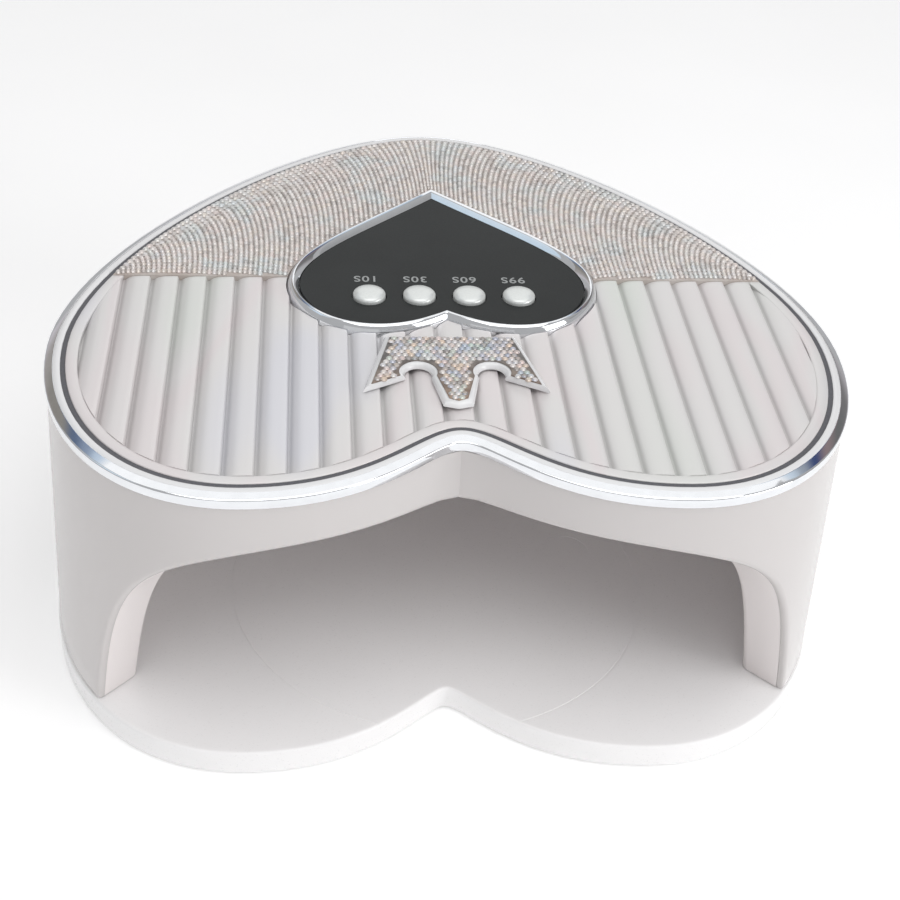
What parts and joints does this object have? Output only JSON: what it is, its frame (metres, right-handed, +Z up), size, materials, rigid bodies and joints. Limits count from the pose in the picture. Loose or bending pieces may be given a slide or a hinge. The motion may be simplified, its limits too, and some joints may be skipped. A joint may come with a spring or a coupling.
{
  "type": "nail lamp",
  "caption": "Heart-shaped UV nail lamp with a wide arched opening for two hands, push buttons on a black panel, a pleated and crystal-set top and a mirror rim.",
  "frame": {"origin": "centre of the footprint's box, on the surface that the rubber feet stand on", "axes": "+Z up; -Y is the side with the arched opening, where the hands go in; +Y is the rounded tip of the heart; +X is right for a viewer at -Y"},
  "size_m": [0.2336, 0.2156, 0.0993],
  "materials": {
    "white_abs": "glossy white moulded ABS",
    "mirror_chrome": "mirror chrome plating",
    "button_chrome": "satin chrome plating on a domed cap",
    "silver_plate": "silver-white lacquered plastic, pleated",
    "crystal": "cut crystal stones on a silver backing",
    "black_panel": "satin black panel",
    "circuit_board": "green solder mask",
    "black_component": "moulded black component",
    "steel": "zinc-plated steel screw",
    "rubber": "soft black rubber"
  },
  "bodies": {
    "housing": {"base_plate": "white_abs", "outer_shell": "white_abs", "inner_liner": "white_abs", "rim_band": "mirror_chrome", "rim_inner_ring": "white_abs", "top_cover": "silver_plate", "rib_panel": "silver_plate", "crystal_panel": "crystal", "panel_bezel": "mirror_chrome", "control_panel": "black_panel", "crown_base": "silver_plate", "crown_crystals": "crystal", "control_board": "circuit_board", "timer_display": "black_component", "driver_board": "circuit_board", "power_inductor": "black_component", "smoothing_capacitor": "black_component", "control_ribbon": "black_component", "led_board_left": "circuit_board", "led_board_right": "circuit_board", "hand_sensor_left": "black_component", "hand_sensor_right": "black_component", "led_lead_left": "black_component", "led_lead_right": "black_component", "power_inlet": "black_component", "power_lead": "black_component", "tact_switch_1": "black_component", "tact_switch_2": "black_component", "tact_switch_3": "black_component", "tact_switch_4": "black_component", "base_screw_1": "steel", "base_screw_2": "steel", "base_screw_3": "steel", "base_screw_4": "steel", "liner_screw_1": "steel", "liner_screw_2": "steel", "liner_screw_3": "steel", "liner_screw_4": "steel", "rubber_foot_1": "rubber", "rubber_foot_2": "rubber", "rubber_foot_3": "rubber", "rubber_foot_4": "rubber"},
    "button_10s": {"button_10s": "button_chrome"},
    "button_30s": {"button_30s": "button_chrome"},
    "button_60s": {"button_60s": "button_chrome"},
    "button_99s": {"button_99s": "button_chrome"}
  },
  "joints": [
    {"name": "press_10s", "type": "slide", "parent": "housing", "child": "button_10s", "axis": [0, 0, -1], "range_m": [0, 0.0008], "stiffness_N_per_m": 1500},
    {"name": "press_30s", "type": "slide", "parent": "housing", "child": "button_30s", "axis": [0, 0, -1], "range_m": [0, 0.0008], "stiffness_N_per_m": 1500},
    {"name": "press_60s", "type": "slide", "parent": "housing", "child": "button_60s", "axis": [0, 0, -1], "range_m": [0, 0.0008], "stiffness_N_per_m": 1500},
    {"name": "press_99s", "type": "slide", "parent": "housing", "child": "button_99s", "axis": [0, 0, -1], "range_m": [0, 0.0008], "stiffness_N_per_m": 1500}
  ]
}
